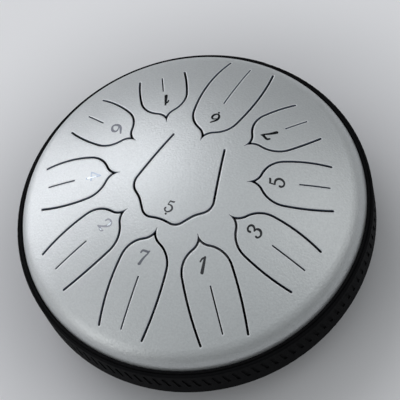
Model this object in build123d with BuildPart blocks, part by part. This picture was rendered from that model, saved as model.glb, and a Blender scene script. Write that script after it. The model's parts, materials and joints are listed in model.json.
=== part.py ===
# A tongue drum: a steel dome cut into eleven sounding tongues, closed from below
# by a steel pan with a sound hole, with a rubber band round the joint and four
# screwed rubber feet. Millimetres. Z is up, the origin is on the ground below the
# crown, and -Y is the player's side, where the second lowest tongue points.

import os
from math import acos, asin, cos, degrees, radians, sin

from build123d import *

os.makedirs("parts", exist_ok=True)

# Steel shells
shell_radius = 122.0
crown_radius = 244.0
shoulder_radius = 18.0
top_sheet = 1.8
skirt_height = 10.3
bottom_sheet = 1.5
pan_depth = 36.5
pan_corner_radius = 26.0
flange_width = 3.0
bend_radius = 1.0
sound_hole_radius = 32.0

# Tongues, clockwise from the lowest note on the far side: the angle at which each
# one stands round the drum at its root, how far its axis leans out of the radius
# there, and how steeply its long belly starts
tongue_angles = {
    "low_6": (90.5, 0.0, 12.7),
    "high_7": (54.4, 1.1, 4.2),
    "mid_5": (21.8, 2.7, 7.5),
    "mid_3": (-13.7, 2.3, 8.7),
    "mid_1": (-51.2, -1.3, 4.0),
    "low_7": (-88.0, 0.0, 6.9),
    "mid_2": (-124.4, 1.0, 4.8),
    "mid_4": (-160.5, 4.4, 11.8),
    "mid_6": (-197.2, 2.8, 10.0),
    "high_1": (-233.3, -2.2, 5.9),
}

# As shares of the shell's radius: each tongue's tip, its root and the two ends of
# its tuning slit, all measured along its axis, and its width at the root
tongue_shares = {
    "low_6": (0.249, 0.893, 0.544, 0.880, 0.277),
    "high_7": (0.392, 0.795, 0.652, 0.794, 0.270),
    "mid_5": (0.363, 0.814, 0.640, 0.806, 0.270),
    "mid_3": (0.354, 0.839, 0.629, 0.834, 0.274),
    "mid_1": (0.352, 0.902, 0.632, 0.877, 0.257),
    "low_7": (0.315, 0.882, 0.587, 0.868, 0.259),
    "mid_2": (0.336, 0.863, 0.617, 0.845, 0.264),
    "mid_4": (0.354, 0.837, 0.632, 0.809, 0.270),
    "mid_6": (0.380, 0.819, 0.665, 0.808, 0.276),
    "high_1": (0.392, 0.791, 0.648, 0.781, 0.273),
}

# Tongue outline: the slot leaves the tip as a cusp, turns out over a rounded
# shoulder and follows a long belly to the root. Its radii and flank are shares of
# the shell's radius too.
slot_width = 1.6
cusp_tip_width = 0.3
cusp_share = 0.0795
cusp_turn = 64.5
flank_share = 0.0098
tongue_shoulder_share = 0.154
slit_width = 1.0

# Centre tongue: corners of its half outline, along its own axis and to the side,
# and the radius that rounds each of them, as shares of the shell's radius
centre_tongue_angle = -88.5
centre_root_shares = (-0.240, 0.158)
centre_corner_shares = ((0.127, 0.247), (0.185, 0.168), (0.279, 0.096), (0.263, 0))
centre_round_shares = (0.0795, 0.1475, 0.0639, 0.2459)

# Rubber band: a bead against the shell, a groove and a wide flaring face outside it
band_rise = 15.0
band_drop = 16.5
bead_width = 1.9
bead_groove_width = 0.6
bead_groove_depth = 2.0
ledge_width = 1.55
ledge_rounding_share = 0.97
face_setback = 1.4
face_flare = 1.3
fit_gap = 0.15
grip_count = 120
grip_width = 2.2
grip_height = 12.0
grip_depth = 0.8
grip_slant = 15.0
grip_top_setback = 5.0

# Rubber grommet in the sound hole
grommet_wall = 1.6
grommet_lip = 4.0
grommet_throat = 1.5
grommet_edge_radius = 0.7

# Rubber feet and their fasteners
foot_count = 4
first_foot_angle = 45.0
foot_inset = 44.0
foot_height = 8.0
foot_top_radius = 11.0
foot_bottom_radius = 9.5
foot_edge_radius = 0.8
recess_gap = 0.6
recess_depth = 4.2
screw_radius = 2.0
screw_clearance = 0.2
screw_tail = 1.3
head_radius = 3.8
head_height = 2.4
head_edge_radius = 1.4
drive_width = 1.0
drive_span = 4.4
drive_depth = 1.3
washer_radius = 4.6
washer_thickness = 0.8
nut_across_flats = 7.0
nut_height = 3.2
nut_chamfer = 0.4
thread_gap = 0.05

full_turn = 360.0
quarter_turn = 90.0

# Heights and radii that follow from those sizes
base_z = foot_height
joint_z = base_z + pan_depth
shoulder_z = joint_z + skirt_height
crown_turn = degrees(asin((shell_radius - shoulder_radius) / (crown_radius - shoulder_radius)))
crown_rise = crown_radius - (crown_radius - shoulder_radius) * cos(radians(crown_turn))
crown_z = shoulder_z + crown_rise
flange_radius = shell_radius + flange_width
foot_circle_radius = shell_radius - foot_inset
cusp_radius = cusp_share * shell_radius
flank_length = flank_share * shell_radius
tongue_shoulder_radius = tongue_shoulder_share * shell_radius


def tongue_plane(angle, lean, root, height):
    """A level plane with its X axis along a tongue that leans round its root."""
    outwards = Vector(1, 0, 0).rotate(Axis.Z, angle)
    along = outwards.rotate(Axis.Z, lean)
    return Plane(origin=(outwards - along) * root + Vector(0, 0, height), x_dir=along,
                 z_dir=(0, 0, 1))


def upright_plane(centre):
    """An upright plane through the given point, with its own Y axis up."""
    return Plane(origin=centre, x_dir=(1, 0, 0), z_dir=(0, -1, 0))


def corner_at(sketch, point):
    """The corner of a sketch nearest to a point of its own plane."""
    return sketch.vertices().sort_by_distance(point)[0]


def tongue_slot(tip, root, root_width, belly_turn):
    """The slot round one tongue, with X pointing outwards along its axis."""
    outer_edge = root_width / 2 + slot_width / 2
    cusp_centre = (tip, cusp_tip_width / 2 + cusp_radius)
    inner_cusp_radius = cusp_radius + slot_width
    inner_start = degrees(acos(cusp_centre[1] / inner_cusp_radius))
    with BuildSketch(mode=Mode.PRIVATE) as slot:
        with BuildLine():
            cusp = JernArc((tip, cusp_tip_width / 2), (1, 0), cusp_radius, cusp_turn)
            flank = Line(cusp @ 1, cusp @ 1 + (cusp % 1) * flank_length)
            shoulder = JernArc(flank @ 1, flank % 1, tongue_shoulder_radius,
                               belly_turn - cusp_turn)
            belly = TangentArc(shoulder @ 1, (root, outer_edge), tangent=shoulder % 1)
            across = (belly % 1).rotate(Axis.Z, -quarter_turn)
            inner_cusp = CenterArc(cusp_centre, inner_cusp_radius, inner_start - quarter_turn,
                                   cusp_turn - inner_start)
            inner_flank = Line(inner_cusp @ 1, inner_cusp @ 1 + (inner_cusp % 1) * flank_length)
            inner_shoulder = JernArc(inner_flank @ 1, inner_flank % 1,
                                     tongue_shoulder_radius - slot_width,
                                     belly_turn - cusp_turn)
            inner_belly = TangentArc(inner_shoulder @ 1, belly @ 1 + across * slot_width,
                                     tangent=inner_shoulder % 1)
            TangentArc(belly @ 1, inner_belly @ 1, tangent=belly % 1)
            Polyline(cusp @ 0, (tip, 0), inner_cusp @ 0)
        make_face()
        mirror(about=Plane.XZ)
    return slot.sketch


def tuning_slit(start, end):
    """The thin slit down the middle of a tongue."""
    with BuildSketch(mode=Mode.PRIVATE) as slit:
        with Locations(((start + end) / 2, 0)):
            SlotOverall(end - start, slit_width)
    return slit.sketch


def centre_tongue_slot():
    """The slot round the centre tongue, with X pointing along its axis."""
    half_shares = (centre_root_shares, *centre_corner_shares)
    half = [(x * shell_radius, y * shell_radius) for x, y in half_shares]
    half_radii = [share * shell_radius for share in centre_round_shares]
    whole = half + [(x, -y) for x, y in half[-2::-1]]
    with BuildSketch(mode=Mode.PRIVATE) as slot:
        with BuildLine():
            FilletPolyline(*whole, radius=half_radii + half_radii[-2::-1])
            offset(amount=slot_width / 2)
        make_face()
    return slot.sketch


# The top shell: dome, rounded shoulder, skirt and flange in one pressed sheet,
# with all its slots cut straight down
slot_top = crown_z + top_sheet
with BuildPart() as top_shell:
    with BuildSketch(Plane.XZ) as shell_section:
        with BuildLine():
            skirt = Line((shell_radius, joint_z + top_sheet), (shell_radius, shoulder_z))
            shoulder_arc = JernArc(skirt @ 1, skirt % 1, shoulder_radius,
                                   quarter_turn - crown_turn)
            JernArc(shoulder_arc @ 1, shoulder_arc % 1, crown_radius, crown_turn)
            inner_skirt = Line((shell_radius - top_sheet, joint_z),
                               (shell_radius - top_sheet, shoulder_z))
            inner_arc = JernArc(inner_skirt @ 1, inner_skirt % 1,
                                shoulder_radius - top_sheet, quarter_turn - crown_turn)
            JernArc(inner_arc @ 1, inner_arc % 1, crown_radius - top_sheet, crown_turn)
            Line((0, crown_z - top_sheet), (0, crown_z))
            Polyline(skirt @ 0, (flange_radius, joint_z + top_sheet),
                     (flange_radius, joint_z), inner_skirt @ 0)
        make_face()
        fillet(corner_at(shell_section, skirt @ 0), bend_radius)
        fillet(corner_at(shell_section, inner_skirt @ 0), bend_radius + top_sheet)
    revolve(axis=Axis.Z)
    for name, shares in tongue_shares.items():
        angle, lean, belly_turn = tongue_angles[name]
        tip, root, slit_start, slit_end, root_width = (share * shell_radius for share in shares)
        with BuildSketch(tongue_plane(angle, lean, root, slot_top)):
            add(tongue_slot(tip, root, root_width, belly_turn))
            add(tuning_slit(slit_start, slit_end))
        extrude(amount=shoulder_z - slot_top, mode=Mode.SUBTRACT)
    with BuildSketch(tongue_plane(centre_tongue_angle, 0, 0, slot_top)):
        add(centre_tongue_slot())
    extrude(amount=shoulder_z - slot_top, mode=Mode.SUBTRACT)
top_shell.part.label = "top_shell"
export_step(top_shell.part, "parts/top_shell.step")

# The bottom shell: flange, wall, rounded corner and flat base with the sound hole
with BuildPart() as bottom_shell:
    with BuildSketch(Plane.XZ) as pan_section:
        with BuildLine():
            base = Line((sound_hole_radius, base_z), (shell_radius - pan_corner_radius, base_z))
            corner = JernArc(base @ 1, base % 1, pan_corner_radius, quarter_turn)
            wall = Line(corner @ 1, (shell_radius, joint_z - bottom_sheet))
            Polyline(wall @ 1, (flange_radius, joint_z - bottom_sheet), (flange_radius, joint_z),
                     (shell_radius - bottom_sheet, joint_z))
            inner_base = Line((sound_hole_radius, base_z + bottom_sheet),
                              (shell_radius - pan_corner_radius, base_z + bottom_sheet))
            inner_corner = JernArc(inner_base @ 1, inner_base % 1,
                                   pan_corner_radius - bottom_sheet, quarter_turn)
            inner_wall = Line(inner_corner @ 1, (shell_radius - bottom_sheet, joint_z))
            Line(base @ 0, inner_base @ 0)
        make_face()
        fillet(corner_at(pan_section, wall @ 1), bend_radius)
        fillet(corner_at(pan_section, inner_wall @ 1), bend_radius + bottom_sheet)
    revolve(axis=Axis.Z)
    with BuildSketch(Plane.XY.offset(base_z)):
        with PolarLocations(foot_circle_radius, foot_count, start_angle=first_foot_angle):
            Circle(screw_radius + screw_clearance)
    extrude(amount=bottom_sheet, mode=Mode.SUBTRACT)
bottom_shell.part.label = "bottom_shell"
export_step(bottom_shell.part, "parts/bottom_shell.step")

# The rubber band: a wide flaring ring with a bead and a groove along each edge,
# a channel inside for the two flanges, and slanted grip grooves round its face
band_top = joint_z + band_rise
band_bottom = joint_z - band_drop
face_top = band_top - face_setback
face_bottom = band_bottom + face_setback
band_inner_radius = shell_radius + fit_gap
bead_radius = bead_width / 2
bead_middle = band_inner_radius + bead_radius
bead_outer_radius = band_inner_radius + bead_width
face_start_radius = bead_outer_radius + bead_groove_width
face_top_radius = face_start_radius + ledge_width
face_bottom_radius = face_top_radius + face_flare
channel_top = joint_z + top_sheet + fit_gap
channel_bottom = joint_z - bottom_sheet - fit_gap
channel_radius = flange_radius + fit_gap
with BuildPart() as rim_band:
    with BuildSketch(Plane.XZ) as band_section:
        with BuildLine():
            inside = Polyline((band_inner_radius, band_top - bead_radius),
                              (band_inner_radius, channel_top), (channel_radius, channel_top),
                              (channel_radius, channel_bottom), (band_inner_radius, channel_bottom),
                              (band_inner_radius, band_bottom + bead_radius))
            ThreePointArc(inside @ 0, (bead_middle, band_top),
                          (bead_outer_radius, band_top - bead_radius))
            Polyline((bead_outer_radius, band_top - bead_radius),
                     (bead_outer_radius, band_top - bead_groove_depth),
                     (face_start_radius, band_top - bead_groove_depth),
                     (face_start_radius, face_top), (face_top_radius, face_top),
                     (face_bottom_radius, face_bottom), (face_start_radius, face_bottom),
                     (face_start_radius, band_bottom + bead_groove_depth),
                     (bead_outer_radius, band_bottom + bead_groove_depth),
                     (bead_outer_radius, band_bottom + bead_radius))
            ThreePointArc((bead_outer_radius, band_bottom + bead_radius),
                          (bead_middle, band_bottom), inside @ 1)
        make_face()
        face_corners = [corner_at(band_section, (face_top_radius, face_top)),
                        corner_at(band_section, (face_bottom_radius, face_bottom))]
        fillet(face_corners, ledge_width * ledge_rounding_share)
        channel_corners = [corner_at(band_section, (band_inner_radius, channel_top)),
                           corner_at(band_section, (band_inner_radius, channel_bottom))]
        chamfer(channel_corners, bend_radius)
    revolve(axis=Axis.Z)
    flare = face_flare / (face_top - face_bottom)
    grip_z = face_top - grip_top_setback - grip_height / 2
    grip_radius = face_top_radius + flare * (face_top - grip_z)
    grip_planes = []
    for number in range(grip_count):
        angle = radians(number * full_turn / grip_count)
        outwards = Vector(cos(angle), sin(angle), flare)
        middle = Vector(grip_radius * cos(angle), grip_radius * sin(angle), grip_z)
        along = Vector(-sin(angle), cos(angle), 0)
        grip_planes.append(Plane(origin=middle, x_dir=along, z_dir=outwards))
    with BuildSketch(*grip_planes):
        Rectangle(grip_width, grip_height, rotation=grip_slant)
    extrude(amount=grip_depth, both=True, mode=Mode.SUBTRACT)
rim_band.part.label = "rim_band"
export_step(rim_band.part, "parts/rim_band.step")

# The grommet that lines the sound hole and grips the edge of the sheet
with BuildPart() as sound_hole_grommet:
    with BuildSketch(Plane.XZ) as ring_section:
        throat_radius = sound_hole_radius - grommet_throat
        lip_radius = sound_hole_radius + grommet_lip
        with BuildLine():
            Polyline((throat_radius, base_z - grommet_wall), (lip_radius, base_z - grommet_wall),
                     (lip_radius, base_z), (sound_hole_radius - fit_gap, base_z),
                     (sound_hole_radius - fit_gap, base_z + bottom_sheet),
                     (lip_radius, base_z + bottom_sheet),
                     (lip_radius, base_z + bottom_sheet + grommet_wall),
                     (throat_radius, base_z + bottom_sheet + grommet_wall), close=True)
        make_face()
        low_corners = ring_section.vertices().group_by(Axis.Y)[0]
        high_corners = ring_section.vertices().group_by(Axis.Y)[-1]
        fillet(low_corners + high_corners, grommet_edge_radius)
    revolve(axis=Axis.Z)
sound_hole_grommet.part.label = "sound_hole_grommet"
export_step(sound_hole_grommet.part, "parts/sound_hole_grommet.step")

# The feet: each one is a tapered rubber pad held by a screw in a recess, with a
# washer under the head and a nut inside the drum
recess_radius = washer_radius + recess_gap
washer_z = recess_depth - washer_thickness
head_z = washer_z - head_height
nut_z = base_z + bottom_sheet
screw_top = nut_z + nut_height + screw_tail
for number in range(1, foot_count + 1):
    angle = radians(first_foot_angle + (number - 1) * full_turn / foot_count)
    centre = Vector(foot_circle_radius * cos(angle), foot_circle_radius * sin(angle), 0)
    axis = Axis(centre, (0, 0, 1))

    with BuildPart() as foot:
        with BuildSketch(upright_plane(centre)) as pad_section:
            with BuildLine():
                pad = Polyline((recess_radius, 0), (foot_bottom_radius, 0),
                               (foot_top_radius, foot_height),
                               (screw_radius + screw_clearance, foot_height),
                               (screw_radius + screw_clearance, recess_depth),
                               (recess_radius, recess_depth), close=True)
            make_face()
            ground_corners = [corner_at(pad_section, pad @ 0),
                              corner_at(pad_section, (foot_bottom_radius, 0))]
            fillet(ground_corners, foot_edge_radius)
        revolve(axis=axis)
    foot.part.label = f"foot_{number}"
    export_step(foot.part, f"parts/foot_{number}.step")

    with BuildPart() as foot_washer:
        with BuildSketch(Plane(centre).offset(washer_z)):
            Circle(washer_radius)
            Circle(screw_radius + screw_clearance, mode=Mode.SUBTRACT)
        extrude(amount=washer_thickness)
    foot_washer.part.label = f"foot_washer_{number}"
    export_step(foot_washer.part, f"parts/foot_washer_{number}.step")

    with BuildPart() as foot_screw:
        with BuildSketch(upright_plane(centre)) as screw_section:
            with BuildLine():
                Polyline((0, head_z), (0, screw_top), (screw_radius, screw_top),
                         (screw_radius, washer_z), (head_radius, washer_z),
                         (head_radius, head_z), close=True)
            make_face()
            fillet(corner_at(screw_section, (head_radius, head_z)), head_edge_radius)
        revolve(axis=axis)
        with BuildSketch(Plane(centre).offset(head_z)):
            Rectangle(drive_span, drive_width)
            Rectangle(drive_width, drive_span)
        extrude(amount=drive_depth, mode=Mode.SUBTRACT)
    foot_screw.part.label = f"foot_screw_{number}"
    export_step(foot_screw.part, f"parts/foot_screw_{number}.step")

    with BuildPart() as foot_nut:
        with BuildSketch(Plane(centre).offset(nut_z)):
            RegularPolygon(nut_across_flats / 2, 6, major_radius=False)
        extrude(amount=nut_height)
        with BuildSketch(Plane(centre).offset(nut_z)):
            Circle(screw_radius + thread_gap)
        extrude(amount=nut_height, mode=Mode.SUBTRACT)
        chamfer(foot_nut.faces().sort_by(Axis.Z)[-1].outer_wire().edges(), nut_chamfer)
    foot_nut.part.label = f"foot_nut_{number}"
    export_step(foot_nut.part, f"parts/foot_nut_{number}.step")
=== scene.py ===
# The looks of a tongue drum, built round its imported solids: a shell in textured white
# spray paint with slate walls where it is cut and painted highlights on their lips,
# engraved note numbers whose lighter tones are painted reflections, moulded black
# rubber, a black pan and plated fasteners. Metres. Z is up and -Y is the player's side.

import json
from math import cos, pi, radians, sin, sqrt, tan

import bpy
from mathutils import Matrix, Vector


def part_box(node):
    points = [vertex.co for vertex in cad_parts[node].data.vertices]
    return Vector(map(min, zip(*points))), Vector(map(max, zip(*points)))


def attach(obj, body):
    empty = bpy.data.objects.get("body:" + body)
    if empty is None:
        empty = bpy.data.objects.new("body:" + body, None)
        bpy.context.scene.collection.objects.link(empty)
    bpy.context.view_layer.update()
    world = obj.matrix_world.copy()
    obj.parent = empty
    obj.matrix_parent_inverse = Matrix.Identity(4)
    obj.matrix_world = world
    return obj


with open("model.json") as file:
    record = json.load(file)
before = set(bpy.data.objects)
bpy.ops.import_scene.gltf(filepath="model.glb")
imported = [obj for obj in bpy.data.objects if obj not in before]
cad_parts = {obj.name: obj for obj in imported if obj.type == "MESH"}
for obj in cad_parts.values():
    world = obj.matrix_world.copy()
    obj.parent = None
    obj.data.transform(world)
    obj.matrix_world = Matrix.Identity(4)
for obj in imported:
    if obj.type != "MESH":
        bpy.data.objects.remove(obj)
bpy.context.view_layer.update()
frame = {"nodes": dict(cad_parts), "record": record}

mm = 0.001

# The dome that the numbers are engraved in
crown_radius = 244 * mm
crown_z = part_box("top_shell")[1].z
shell_radius = 122 * mm

# Camera: the sensor's width is in millimetres, the focal length in pixels
camera_place = Vector((0.2548, -0.2566, 0.7029))
camera_aim = Vector((0.0052, 0.0045, 0.059))
camera_roll = radians(-20.16)
sensor_width = 36.0
picture_width = 400
focal_pixels = 1057.9

# Lamps: azimuth, elevation and half width as the drum sees them, in degrees, then
# brightness and colour
cool_light = (0.955, 0.955, 1.0)
white_light = (1.0, 1.0, 1.0)
lamps = (
    ("key", 180, 15, 22, 1.76, cool_light),
    ("side", 150, 45, 18, 1.78, cool_light),
    ("front", 240, 20, 18, 1.25, white_light),
    ("far", 40, 40, 25, 0.6, white_light),
)
lamp_aim = Vector((0, 0, 0.08))
lamp_distance = 3.5

# World: the sky that lights the drum, brighter towards the zenith, and the plain
# backdrop that the camera sees
sky_colour = (0.93, 0.97, 1.0)
horizon_brightness = 0.0
zenith_brightness = 0.5
backdrop_colour = (0.62, 0.62, 0.63)

# Floor: the colour that is seen, the darker one that lights the drum from below, and
# the lifts that the camera sees, each with the distance from the axis at which it
# starts, the one at which it is full, and its strength. The first is missing near the
# drum, which leaves a painted shadow round it.
floor_reach = 60.0
floor_colour = (0.72, 0.72, 0.73)
floor_bounce = (0.15, 0.15, 0.15)
floor_lifts_and_painted_shadow = ((0.8 * shell_radius, 2.2 * shell_radius, 0.3), (1.0, 7.0, 0.24))

# Shell paint: it clouds between two shades, and darker specks are painted shade for its
# grain. The last pair is the range of the specks' share.
paint_colour = (0.765, 0.79, 0.79)
paint_metallic = 0.57
cloud_shades = ((0.757, 0.782, 0.782), (0.772, 0.797, 0.797))
cloud_size = 14 * mm
grain_size = 1.5 * mm
grain_height = 0.3 * mm
grain_strength = 0.65
grain_shade_colour = (0.3, 0.31, 0.32)
grain_shade_size = 1.3 * mm
grain_shade_shares = (0.01, 0.15)

# Where the shell's sheet isn't painted: faces whose normals rise less than wall_rise
# are cut walls, and less than inner_rise its inner side. The rim is painted all round,
# though it is as steep.
rim_margin = 5 * mm
wall_rise = 0.6
wall_colour = (0.2, 0.24, 0.32)
inner_rise = -0.3
inner_colour = (0.06, 0.06, 0.062)

# The painted highlight along the lip of each cut: how far it reaches, how fast it comes
# up as the bevelled normal turns away, and its greatest share
lip_reach = 1.5 * mm
lip_gain = 14.0
lip_most = 0.9
lip_highlight_colour = (0.95, 0.97, 0.98)

# Rubber, and how much paler it is where it is worn
band_colour = (0.004, 0.004, 0.0045)
foot_colour = (0.018, 0.018, 0.018)
wear = 1.6

# Metal laid bare by the engraving. The darker tones are the mark's own colour; the
# lighter ones, from grey up, are painted reflections of the lamps, and bright is a
# painted glint.
engraving_and_reflection_colours = {
    "black": (0.02, 0.021, 0.023),
    "dark": (0.05, 0.051, 0.054),
    "soft": (0.08, 0.081, 0.085),
    "grey": (0.24, 0.25, 0.28),
    "mist": (0.4, 0.41, 0.45),
    "pale": (0.4, 0.46, 0.55),
    "bright": (0.9, 0.96, 1.0),
}

# Note numbers: digit, angle of the tongue, distance from the drum's axis, shift to the
# reader's right, turn in degrees, size, weight, place of the octave dot, and tone, where
# grey and lighter tones are painted reflections of the lamps.
# Lengths are in millimetres, and the size scales the strokes and the dot.
note_numbers = {
    "low_6": ("6", 90, 51.6, -0.1, 0, 0.82, 1.3, (-0.35, -7.0), "black"),
    "high_7": ("7", 54, 67.7, -0.3, 0, 1.0, 1.12, None, "black"),
    "mid_5": ("5", 18, 63.8, 2.7, 0, 1.0, 1.08, None, "dark"),
    "mid_3": ("3", -18, 62.9, 4.2, 0, 1.0, 1.05, None, "dark"),
    "mid_1": ("1", -54, 63.5, 3.2, -24.4, 1.0, 1.15, None, "soft"),
    "low_7": ("7", -90, 59.3, 0.4, -6, 0.96, 0.95, (-0.3, -5.5), "grey"),
    "mid_2": ("2", -126, 59.8, 0.0, 0, 1.0, 1.0, None, "mist"),
    "mid_4": ("4", -162, 63.0, -1.8, 8, 1.0, 0.9, None, "pale"),
    "mid_6": ("6", -198, 66.7, -1.3, 0, 1.0, 1.25, None, "grey"),
    "high_1": ("1", -234, 69.7, 0.7, -8.2, 0.82, 1.5, (0.17, 6.3), "black"),
    "low_5": ("5", -90, 22.5, 2.8, 0, 0.83, 1.0, (-0.1, -6.6), "soft"),
}
dot_radius = 0.9

# Strokes of the digits in millimetres about their middles: places along the pen's
# path with the pen's half width there
digit_strokes = {
    "1": (
        ((0.0, 4.9, 0.6), (0.0, 0.0, 0.8), (0.0, -5.1, 0.95)),
        ((0.0, 4.8, 0.5), (-1.6, 3.6, 0.5), (-2.5, 1.5, 0.4)),
    ),
    "2": (
        ((-2.1, 2.3, 0.5), (-1.8, 4.0, 0.6), (-0.3, 5.1, 0.6), (1.6, 4.8, 0.85),
         (2.5, 3.4, 1.1), (2.0, 1.5, 0.95), (0.8, -0.6, 0.65), (-0.9, -2.4, 0.5),
         (-2.4, -3.9, 0.5)),
        ((-2.4, -3.9, 0.5), (-0.6, -3.4, 0.7), (0.9, -3.7, 0.9), (2.3, -3.3, 0.7),
         (2.9, -2.5, 0.4)),
    ),
    "3": (
        ((-2.75, 1.9, 0.75), (-3.05, 3.1, 0.65), (-2.2, 4.35, 0.6), (-0.6, 4.9, 0.6),
         (1.0, 4.4, 0.7), (1.6, 3.1, 0.75), (1.0, 1.5, 0.6), (-0.5, 0.4, 0.4)),
        ((-0.5, 0.3, 0.4), (1.0, 0.35, 0.55), (2.15, -0.6, 0.8), (2.45, -1.9, 0.85),
         (1.8, -3.4, 0.75), (0.35, -4.45, 0.6), (-1.2, -4.5, 0.55), (-2.45, -3.8, 0.6),
         (-2.5, -2.9, 0.7)),
    ),
    "4": (
        ((0.9, 5.3, 0.4), (-1.2, 1.8, 0.45), (-3.3, -1.7, 0.5)),
        ((-3.3, -1.8, 0.5), (0.0, -1.8, 0.5), (3.2, -1.8, 0.5)),
        ((0.9, 5.2, 0.5), (0.9, 0.0, 0.7), (0.9, -5.2, 0.8)),
    ),
    "5": (
        ((-1.15, 4.45, 0.55), (0.5, 4.45, 0.65), (2.0, 4.7, 0.65), (2.3, 5.0, 0.45)),
        ((-1.1, 4.6, 0.4), (-1.4, 3.0, 0.45), (-1.65, 1.4, 0.45)),
        ((-1.65, 1.2, 0.45), (0.2, 1.35, 0.6), (2.0, 0.65, 0.75), (3.0, -1.1, 0.8),
         (2.6, -2.9, 0.75), (1.2, -4.35, 0.6), (-0.4, -4.75, 0.55), (-1.9, -4.2, 0.6),
         (-2.7, -2.9, 0.7), (-2.4, -2.0, 0.7)),
    ),
    "6": (
        ((1.25, 5.35, 0.45), (0.2, 4.1, 0.55), (-1.2, 2.7, 0.65), (-2.4, 0.9, 0.75),
         (-2.9, -1.0, 0.8), (-2.6, -3.0, 0.75), (-1.6, -4.5, 0.65), (-0.4, -5.1, 0.6),
         (1.0, -4.6, 0.65), (2.3, -3.1, 0.75), (2.75, -1.3, 0.75), (2.3, 0.3, 0.65),
         (1.2, 1.0, 0.55), (-0.2, 0.7, 0.4), (-1.6, -0.3, 0.3)),
    ),
    "7": (
        ((-2.75, 1.8, 0.6), (-2.55, 3.0, 0.7), (-1.8, 3.7, 0.75), (-0.1, 4.0, 0.8),
         (1.6, 4.25, 0.8), (2.5, 5.2, 0.4)),
        ((2.5, 5.1, 0.4), (2.0, 2.9, 0.55), (1.05, 0.1, 0.7), (0.4, -2.7, 0.9),
         (0.1, -5.15, 1.05)),
    ),
}
# The same for where the light catches the flanks of a groove
glints = {
    "mid_2": (
        ((1.5, 4.6, 0.3), (2.0, 3.2, 0.6), (1.8, 1.8, 0.35)),
        ((0.3, -3.8, 0.25), (1.1, -3.5, 0.5), (1.8, -3.3, 0.25)),
    ),
    "mid_4": (
        ((0.9, 2.0, 0.25), (0.9, -1.5, 0.35), (0.8, -4.2, 0.6)),
    ),
}
# How finely strokes are drawn: steps from point to point, and in each round end
steps_between_points = 6
cap_steps = 6

# How far the inlays rise over the dome, and how deep they are set in it
engraving_rise = 0.04 * mm
glint_rise = 1.5 * engraving_rise
engraving_depth = 0.25 * mm


def dome_z(x, y):
    """Height of the dome's outer face above a point of the ground."""
    return crown_z - crown_radius + sqrt(crown_radius ** 2 - x * x - y * y)


def smooth_path(points):
    """A Catmull-Rom path through points of any number of values."""
    points = [Vector(p) for p in points]
    ends = [2 * points[0] - points[1], *points, 2 * points[-1] - points[-2]]
    path = []
    for a, b, c, d in zip(ends, ends[1:], ends[2:], ends[3:]):
        for step in range(steps_between_points):
            t = step / steps_between_points
            path.append(0.5 * (2 * b + (c - a) * t + (2 * a - 5 * b + 4 * c - d) * t ** 2
                               + (3 * b - a - 3 * c + d) * t ** 3))
    return path + [points[-1]]


def stroke_rows(points, weight):
    """Left and right edge points of a pen stroke, with half round ends."""
    path = smooth_path(points)
    rows = []
    for number, place in enumerate(path):
        ahead = path[min(number + 1, len(path) - 1)]
        behind = path[max(number - 1, 0)]
        along = (ahead.xy - behind.xy).normalized()
        across = Vector((-along.y, along.x)) * place.z * weight
        row = [(place.xy + across, place.xy - across)]
        if number in (0, len(path) - 1):
            outwards = -along if number == 0 else along
            cap = []
            for step in range(1, cap_steps):
                turn = step / cap_steps * pi / 2
                middle = place.xy + outwards * place.z * weight * sin(turn)
                cap.append((middle + across * cos(turn), middle - across * cos(turn)))
            row = cap[::-1] + row if number == 0 else row + cap
        rows += row
    return rows


def disc_rows(centre, radius):
    """The same for a round dot."""
    rows = []
    for step in range(1, 2 * cap_steps):
        turn = step / (2 * cap_steps) * pi
        middle = Vector(centre) - Vector((radius * cos(turn), 0))
        across = Vector((0, radius * sin(turn)))
        rows.append((middle + across, middle - across))
    return rows


def engraved_piece(name, all_rows, place, rise):
    """A thin inlay in the dome from rows of edge points, laid out by place."""
    vertices, faces = [], []
    for rows in all_rows:
        corners = []
        for edges in rows:
            first = len(vertices)
            for edge in edges:
                x, y = place(edge)
                vertices.append((x, y, dome_z(x, y) + rise))
                vertices.append((x, y, dome_z(x, y) - engraving_depth))
            corners.append(range(first, len(vertices)))
        for near, far in zip(corners, corners[1:]):
            left, left_low, right, right_low = near
            far_left, far_left_low, far_right, far_right_low = far
            faces.append((left, right, far_right, far_left))
            faces.append((left_low, far_left_low, far_right_low, right_low))
            faces.append((left, far_left, far_left_low, left_low))
            faces.append((right, right_low, far_right_low, far_right))
        left, left_low, right, right_low = corners[0]
        faces.append((left, left_low, right_low, right))
        left, left_low, right, right_low = corners[-1]
        faces.append((left, right, right_low, left_low))
    mesh = bpy.data.meshes.new(name)
    mesh.from_pydata(vertices, [], faces)
    mesh.update()
    piece = bpy.data.objects.new(name, mesh)
    bpy.context.scene.collection.objects.link(piece)
    return piece


def note_number(name, digit, angle, distance, shift, turn, size, weight, dot):
    """The pieces of one number, its top towards the drum's axis."""
    outwards = Vector((cos(radians(angle)), sin(radians(angle))))
    right = Vector((-outwards.y, outwards.x))
    middle = outwards * distance + right * shift
    turned = Matrix.Rotation(radians(turn), 2) * size

    def place(point):
        point = turned @ point
        return (middle + right * point.x - outwards * point.y) * mm

    rows = [stroke_rows(stroke, weight) for stroke in digit_strokes[digit]]
    if dot is not None:
        rows.append(disc_rows(dot, dot_radius))
    pieces = [engraved_piece(f"number_{name}", rows, place, engraving_rise)]
    if name in glints:
        rows = [stroke_rows(stroke, weight=1.0) for stroke in glints[name]]
        pieces.append(engraved_piece(f"glint_{name}", rows, place, glint_rise))
    return pieces


# Materials

# Most of a noise's values keep within these
noise_low = 0.3
noise_high = 0.7


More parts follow.
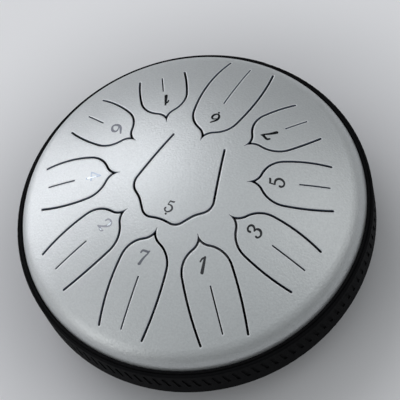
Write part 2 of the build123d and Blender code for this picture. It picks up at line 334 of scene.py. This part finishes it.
class Finish:
    """A principled material with short ways to add nodes."""

    def __init__(self, name, colour, roughness, metallic=0.0, specular=0.5):
        self.material = bpy.data.materials.new(name)
        self.material.use_nodes = True
        self.tree = self.material.node_tree
        self.shader = self.tree.nodes["Principled BSDF"]
        self.shader.inputs["Base Color"].default_value = (*colour, 1)
        self.shader.inputs["Roughness"].default_value = roughness
        self.shader.inputs["Metallic"].default_value = metallic
        self.shader.inputs["Specular IOR Level"].default_value = specular
        self.coordinates = self.node("ShaderNodeTexCoord").outputs["Object"]

    def node(self, kind, **settings):
        made = self.tree.nodes.new(kind)
        for key, value in settings.items():
            setattr(made, key, value)
        return made

    def link(self, source, target):
        self.tree.links.new(source, target)

    def noise(self, size, detail=3.0, stretch=(1, 1, 1)):
        """Noise whose grains are about size metres across."""
        mapping = self.node("ShaderNodeMapping")
        mapping.inputs["Scale"].default_value = stretch
        self.link(self.coordinates, mapping.inputs["Vector"])
        noise = self.node("ShaderNodeTexNoise")
        noise.inputs["Scale"].default_value = 1 / size
        noise.inputs["Detail"].default_value = detail
        self.link(mapping.outputs["Vector"], noise.inputs["Vector"])
        return noise.outputs["Fac"]

    def between(self, noise, low, high):
        """Spreads the values of a noise over the range from low to high."""
        spread = self.node("ShaderNodeMapRange")
        spread.inputs["From Min"].default_value = noise_low
        spread.inputs["From Max"].default_value = noise_high
        spread.inputs["To Min"].default_value = low
        spread.inputs["To Max"].default_value = high
        self.link(noise, spread.inputs["Value"])
        return spread.outputs["Result"]

    def mix(self, share, first, second):
        """Mixes two colours, each of them a colour or a socket."""
        mixed = self.node("ShaderNodeMix", data_type="RGBA")
        self.link(share, mixed.inputs["Factor"])
        for key, colour in (("A", first), ("B", second)):
            socket = next(s for s in mixed.inputs if s.name == key and s.type == "RGBA")
            if isinstance(colour, tuple):
                socket.default_value = (*colour, 1)
            else:
                self.link(colour, socket)
        return next(s for s in mixed.outputs if s.type == "RGBA")

    def math(self, operation, *values):
        """A math node whose inputs are numbers or sockets."""
        made = self.node("ShaderNodeMath", operation=operation)
        for socket, value in zip(made.inputs, values):
            if isinstance(value, (int, float)):
                socket.default_value = value
            else:
                self.link(value, socket)
        return made.outputs["Value"]

    def bump(self, height, distance, strength, normal=None):
        bump = self.node("ShaderNodeBump")
        bump.inputs["Strength"].default_value = strength
        bump.inputs["Distance"].default_value = distance
        self.link(height, bump.inputs["Height"])
        if normal is not None:
            self.link(normal, bump.inputs["Normal"])
        return bump.outputs["Normal"]

    def use(self, key, source):
        self.link(source, self.shader.inputs[key])


def shell_paint():
    """White spray paint with a fine grain and painted shade in it, painted highlights on
    the lips and slate walls at the cuts, and a dark inner face."""
    finish = Finish("shell_paint", paint_colour, roughness=0.43)
    grain = finish.noise(grain_size, detail=4.0)
    cloud = finish.noise(cloud_size)
    clear = finish.mix(finish.between(cloud, low=0.0, high=1.0), *cloud_shades)
    # Darker specks at random: painted shade standing in for the shading of the paint's grain
    grain_shade_specks = finish.noise(grain_shade_size, detail=2.0)
    painted = finish.mix(finish.between(grain_shade_specks, *grain_shade_shares), clear, grain_shade_colour)
    geometry = finish.node("ShaderNodeNewGeometry")
    facing = finish.node("ShaderNodeSeparateXYZ")
    finish.link(geometry.outputs["True Normal"], facing.inputs["Vector"])
    rise = facing.outputs["Z"]
    place = finish.node("ShaderNodeSeparateXYZ")
    finish.link(finish.coordinates, place.inputs["Vector"])
    x_squared = finish.math("POWER", place.outputs["X"], 2)
    y_squared = finish.math("POWER", place.outputs["Y"], 2)
    reach_squared = finish.math("ADD", x_squared, y_squared)
    within = finish.math("LESS_THAN", reach_squared, (shell_radius - rim_margin) ** 2)
    cut = finish.math("MULTIPLY", within, finish.math("LESS_THAN", rise, wall_rise))
    inner = finish.math("LESS_THAN", rise, inner_rise)
    unpainted = finish.mix(inner, wall_colour, inner_colour)
    bevel = finish.node("ShaderNodeBevel", samples=8)
    bevel.inputs["Radius"].default_value = lip_reach
    bend = finish.node("ShaderNodeVectorMath", operation="DOT_PRODUCT")
    finish.link(bevel.outputs["Normal"], bend.inputs[0])
    finish.link(geometry.outputs["Normal"], bend.inputs[1])
    # Paint made paler where the bevelled normal turns away: a painted highlight along every cut
    lip_highlight = finish.math("MULTIPLY_ADD", bend.outputs["Value"], -lip_gain, lip_gain)
    lip_highlight = finish.math("MULTIPLY", within, finish.math("MINIMUM", lip_highlight, lip_most))
    painted = finish.mix(lip_highlight, painted, lip_highlight_colour)
    finish.use("Base Color", finish.mix(cut, painted, unpainted))
    dull = finish.math("MAXIMUM", cut, lip_highlight)
    finish.use("Metallic", finish.math("MULTIPLY_ADD", dull, -paint_metallic, paint_metallic))
    finish.use("Roughness", finish.between(grain, low=0.38, high=0.48))
    bumps = finish.bump(grain, grain_height, grain_strength, bevel.outputs["Normal"])
    finish.use("Normal", bumps)
    return finish.material


def pan_paint():
    finish = Finish("pan_paint", colour=(0.02, 0.02, 0.021), roughness=0.45)
    grain = finish.noise(size=0.9 * mm, detail=4.0)
    finish.use("Roughness", finish.between(grain, low=0.4, high=0.55))
    finish.use("Normal", finish.bump(grain, distance=0.1 * mm, strength=0.25))
    return finish.material


def rubber(name, colour):
    finish = Finish(name, colour, roughness=0.8, specular=0.08)
    grain = finish.noise(size=0.5 * mm, detail=5.0)
    smudge = finish.noise(size=18 * mm)
    worn = tuple(wear * part for part in colour)
    finish.use("Base Color", finish.mix(finish.between(smudge, low=0.0, high=1.0), colour, worn))
    finish.use("Roughness", finish.between(grain, low=0.66, high=0.84))
    finish.use("Normal", finish.bump(grain, distance=0.08 * mm, strength=0.3))
    return finish.material


def plated_steel():
    finish = Finish("fastener_steel", colour=(0.55, 0.56, 0.57), roughness=0.32, metallic=1.0)
    streaks = finish.noise(size=0.6 * mm, stretch=(1, 1, 0.2))
    finish.use("Roughness", finish.between(streaks, low=0.25, high=0.42))
    return finish.material


def engraved_steel(name, colour):
    finish = Finish(name, colour, roughness=0.4, metallic=1.0)
    streaks = finish.noise(size=0.35 * mm, detail=2.0)
    finish.use("Roughness", finish.between(streaks, low=0.34, high=0.44))
    return finish.material


def dress(node, material):
    """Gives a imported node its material, in all its slots."""
    for slot in node.material_slots:
        slot.material = material


materials = {
    "shell_paint": shell_paint(),
    "pan_paint": pan_paint(),
    "band_rubber": rubber("band_rubber", band_colour),
    "foot_rubber": rubber("foot_rubber", foot_colour),
    "fastener_steel": plated_steel(),
}
for subpart in frame["record"]["subparts"]:
    dress(frame["nodes"][subpart["node"]], materials[subpart["material_slot"]])

# Each number in its tone, and its glints in bright, a painted glint
engravings_and_reflections = {tone: engraved_steel(f"{tone}_engraving", colour)
              for tone, colour in engraving_and_reflection_colours.items()}
for name, (*number, tone) in note_numbers.items():
    for piece, look in zip(note_number(name, *number), (tone, "bright")):
        piece.data.materials.append(engravings_and_reflections[look])
        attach(piece, "root")


# Floor, light and camera


def studio_floor():
    """A pale floor, lifted for the camera only, and not below the drum, which paints a
    shadow round it.
    """
    mesh = bpy.data.meshes.new("floor")
    corners = [(-floor_reach, -floor_reach, 0), (floor_reach, -floor_reach, 0),
               (floor_reach, floor_reach, 0), (-floor_reach, floor_reach, 0)]
    mesh.from_pydata(corners, [], [(0, 1, 2, 3)])
    floor = bpy.data.objects.new("floor", mesh)
    bpy.context.scene.collection.objects.link(floor)
    finish = Finish("floor", floor_colour, roughness=0.8, specular=0.0)
    path = finish.node("ShaderNodeLightPath")
    from_camera = path.outputs["Is Camera Ray"]
    seen = finish.math("MAXIMUM", from_camera, path.outputs["Is Glossy Ray"])
    seen = finish.math("MAXIMUM", seen, path.outputs["Is Transmission Ray"])
    finish.use("Base Color", finish.mix(seen, floor_bounce, floor_colour))
    finish.shader.inputs["Emission Color"].default_value = (*floor_colour, 1)
    away = finish.node("ShaderNodeVectorMath", operation="LENGTH")
    finish.link(finish.coordinates, away.inputs[0])
    # The lifts fade out towards the drum: a painted shadow round it
    lifts = []
    for start, end, strength in floor_lifts_and_painted_shadow:
        lift = finish.node("ShaderNodeMapRange", interpolation_type="SMOOTHSTEP")
        lift.inputs["From Min"].default_value = start
        lift.inputs["From Max"].default_value = end
        lift.inputs["To Max"].default_value = strength
        finish.link(away.outputs["Value"], lift.inputs["Value"])
        lifts.append(lift.outputs["Result"])
    lifted = finish.math("ADD", *lifts)
    finish.use("Emission Strength", finish.math("MULTIPLY", from_camera, lifted))
    mesh.materials.append(finish.material)


def studio_world():
    """A sky that lights the drum, behind a backdrop that only the camera sees."""
    world = bpy.data.worlds.new("studio")
    bpy.context.scene.world = world
    world.use_nodes = True
    tree = world.node_tree
    light = tree.nodes["Background"]
    light.inputs["Color"].default_value = (*sky_colour, 1)
    direction = tree.nodes.new("ShaderNodeTexCoord")
    parts = tree.nodes.new("ShaderNodeSeparateXYZ")
    tree.links.new(direction.outputs["Generated"], parts.inputs["Vector"])
    height = tree.nodes.new("ShaderNodeMapRange")
    height.inputs["To Min"].default_value = horizon_brightness
    height.inputs["To Max"].default_value = zenith_brightness
    tree.links.new(parts.outputs["Z"], height.inputs["Value"])
    tree.links.new(height.outputs["Result"], light.inputs["Strength"])
    seen = tree.nodes.new("ShaderNodeBackground")
    seen.inputs["Color"].default_value = (*backdrop_colour, 1)
    path = tree.nodes.new("ShaderNodeLightPath")
    mixed = tree.nodes.new("ShaderNodeMixShader")
    tree.links.new(path.outputs["Is Camera Ray"], mixed.inputs["Fac"])
    tree.links.new(light.outputs["Background"], mixed.inputs[1])
    tree.links.new(seen.outputs["Background"], mixed.inputs[2])
    tree.links.new(mixed.outputs["Shader"], tree.nodes["World Output"].inputs["Surface"])


def soft_lamp(name, azimuth, elevation, reach, brightness, colour):
    """A round soft box, as wide and bright as the drum sees it."""
    data = bpy.data.lights.new(name, "AREA")
    data.shape = "DISK"
    data.color = colour
    data.size = 2 * lamp_distance * tan(reach)
    data.energy = brightness * (pi * lamp_distance * tan(reach)) ** 2
    lamp = bpy.data.objects.new(name, data)
    bpy.context.scene.collection.objects.link(lamp)
    towards = Vector((cos(azimuth) * cos(elevation), sin(azimuth) * cos(elevation),
                      sin(elevation)))
    lamp.location = lamp_aim + lamp_distance * towards
    lamp.visible_camera = False
    lamp.rotation_euler = (-towards).to_track_quat("-Z", "Y").to_euler()


def studio_camera():
    data = bpy.data.cameras.new("camera")
    data.sensor_width = sensor_width
    data.lens = focal_pixels / picture_width * sensor_width
    camera = bpy.data.objects.new("camera", data)
    bpy.context.scene.collection.objects.link(camera)
    towards = (camera_aim - camera_place).to_track_quat("-Z", "Y").to_matrix().to_4x4()
    camera.matrix_world = (Matrix.Translation(camera_place) @ towards
                           @ Matrix.Rotation(camera_roll, 4, "Z"))
    bpy.context.scene.camera = camera


studio_floor()
studio_world()
for name, azimuth, elevation, reach, brightness, colour in lamps:
    soft_lamp(name, radians(azimuth), radians(elevation), radians(reach), brightness, colour)
studio_camera()
bpy.context.scene.view_settings.view_transform = "Standard"

bpy.context.view_layer.update()
